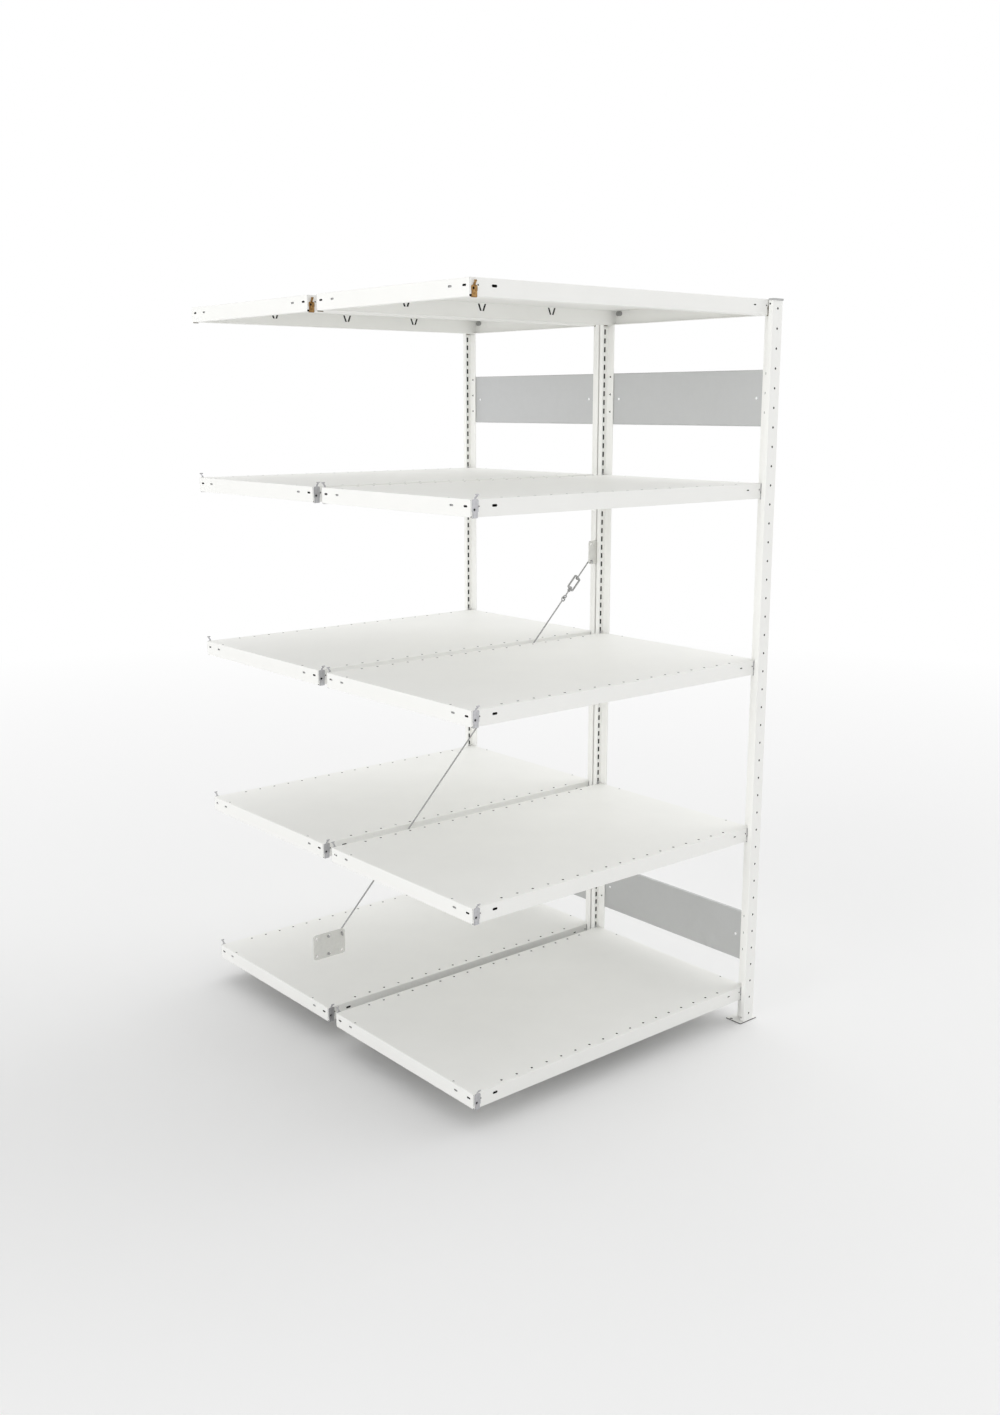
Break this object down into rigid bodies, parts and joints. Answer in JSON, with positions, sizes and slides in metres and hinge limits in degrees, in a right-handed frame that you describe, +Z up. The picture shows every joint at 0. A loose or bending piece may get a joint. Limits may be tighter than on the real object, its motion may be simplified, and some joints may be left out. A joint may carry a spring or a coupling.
{
  "type": "add-on shelving bay",
  "caption": "Add-on bay of double-sided boltless steel shelving: tray shelves on clips, T-section end posts with end panels, and a diagonal brace with a turnbuckle.",
  "frame": {"origin": "on the floor, at the middle of the bay's overall length and midway between the two units", "axes": "+X along the shelves towards the bay's own end frame, +Y from the front unit to the rear one, +Z up"},
  "size_m": [1.09, 1.2776, 2],
  "materials": {
    "white_paint": "satin",
    "zinc_sheet": "satin",
    "zinc_plated": "satin",
    "yellow_zinc": "satin",
    "grey_cap": "matte"
  },
  "bodies": {
    "frame": {"post_front_outer": "white_paint", "foot_plate_front_outer": "white_paint", "post_cap_front_outer": "grey_cap", "post_front_inner": "white_paint", "foot_plate_front_inner": "white_paint", "post_cap_front_inner": "grey_cap", "end_panel_front_lower": "zinc_sheet", "end_panel_front_upper": "zinc_sheet", "clip_front_1_left_outer": "zinc_plated", "clip_front_1_right_outer": "zinc_plated", "clip_front_1_left_inner": "zinc_plated", "clip_front_2_left_outer": "zinc_plated", "clip_front_2_right_outer": "zinc_plated", "clip_front_2_left_inner": "zinc_plated", "clip_front_3_left_outer": "zinc_plated", "clip_front_3_right_outer": "zinc_plated", "clip_front_3_left_inner": "zinc_plated", "clip_front_4_left_outer": "zinc_plated", "clip_front_4_right_outer": "zinc_plated", "clip_front_4_left_inner": "zinc_plated", "clip_front_5_left_outer": "yellow_zinc", "clip_front_5_right_outer": "yellow_zinc", "clip_front_5_left_inner": "yellow_zinc", "clip_front_5_right_inner": "yellow_zinc", "post_rear_outer": "white_paint", "foot_plate_rear_outer": "white_paint", "post_cap_rear_outer": "grey_cap", "post_rear_inner": "white_paint", "foot_plate_rear_inner": "white_paint", "post_cap_rear_inner": "grey_cap", "end_panel_rear_lower": "zinc_sheet", "end_panel_rear_upper": "zinc_sheet", "clip_rear_1_left_outer": "zinc_plated", "clip_rear_1_left_inner": "zinc_plated", "clip_rear_2_left_outer": "zinc_plated", "clip_rear_2_left_inner": "zinc_plated", "clip_rear_3_left_outer": "zinc_plated", "clip_rear_3_left_inner": "zinc_plated", "clip_rear_4_left_outer": "zinc_plated", "clip_rear_4_left_inner": "zinc_plated", "clip_rear_5_left_outer": "yellow_zinc", "clip_rear_5_right_outer": "yellow_zinc", "clip_rear_5_left_inner": "yellow_zinc", "clip_rear_5_right_inner": "yellow_zinc", "gusset_plate_lower": "zinc_plated", "gusset_plate_upper": "zinc_plated", "brace_rod_long": "zinc_plated", "brace_hook_short": "zinc_plated", "brace_rod_upper": "zinc_plated"},
    "shelf_front_1": {"shelf_front_1": "white_paint"},
    "shelf_front_2": {"shelf_front_2": "white_paint"},
    "shelf_front_3": {"shelf_front_3": "white_paint"},
    "shelf_front_4": {"shelf_front_4": "white_paint"},
    "shelf_front_5": {"shelf_front_5": "white_paint"},
    "shelf_rear_1": {"shelf_rear_1": "white_paint"},
    "shelf_rear_2": {"shelf_rear_2": "white_paint"},
    "shelf_rear_3": {"shelf_rear_3": "white_paint"},
    "shelf_rear_4": {"shelf_rear_4": "white_paint"},
    "shelf_rear_5": {"shelf_rear_5": "white_paint"},
    "turnbuckle": {"brace_turnbuckle": "zinc_plated"}
  },
  "joints": [
    {"name": "shelf_front_1_lift", "type": "slide", "parent": "frame", "child": "shelf_front_1", "axis": [0, 0, 1], "range_m": [0, 0.055]},
    {"name": "shelf_front_2_lift", "type": "slide", "parent": "frame", "child": "shelf_front_2", "axis": [0, 0, 1], "range_m": [0, 0.055]},
    {"name": "shelf_front_3_lift", "type": "slide", "parent": "frame", "child": "shelf_front_3", "axis": [0, 0, 1], "range_m": [0, 0.055]},
    {"name": "shelf_front_4_lift", "type": "slide", "parent": "frame", "child": "shelf_front_4", "axis": [0, 0, 1], "range_m": [0, 0.055]},
    {"name": "shelf_front_5_lift", "type": "slide", "parent": "frame", "child": "shelf_front_5", "axis": [0, 0, 1], "range_m": [0, 0.055]},
    {"name": "shelf_rear_1_lift", "type": "slide", "parent": "frame", "child": "shelf_rear_1", "axis": [0, 0, 1], "range_m": [0, 0.055]},
    {"name": "shelf_rear_2_lift", "type": "slide", "parent": "frame", "child": "shelf_rear_2", "axis": [0, 0, 1], "range_m": [0, 0.055]},
    {"name": "shelf_rear_3_lift", "type": "slide", "parent": "frame", "child": "shelf_rear_3", "axis": [0, 0, 1], "range_m": [0, 0.055]},
    {"name": "shelf_rear_4_lift", "type": "slide", "parent": "frame", "child": "shelf_rear_4", "axis": [0, 0, 1], "range_m": [0, 0.055]},
    {"name": "shelf_rear_5_lift", "type": "slide", "parent": "frame", "child": "shelf_rear_5", "axis": [0, 0, 1], "range_m": [0, 0.055]},
    {"name": "turnbuckle_turn", "type": "hinge", "parent": "frame", "child": "turnbuckle", "pos_m": [0.40966, 0.0083, 1.21303], "axis": [0.6976, 0, 0.7165], "continuous": true}
  ]
}
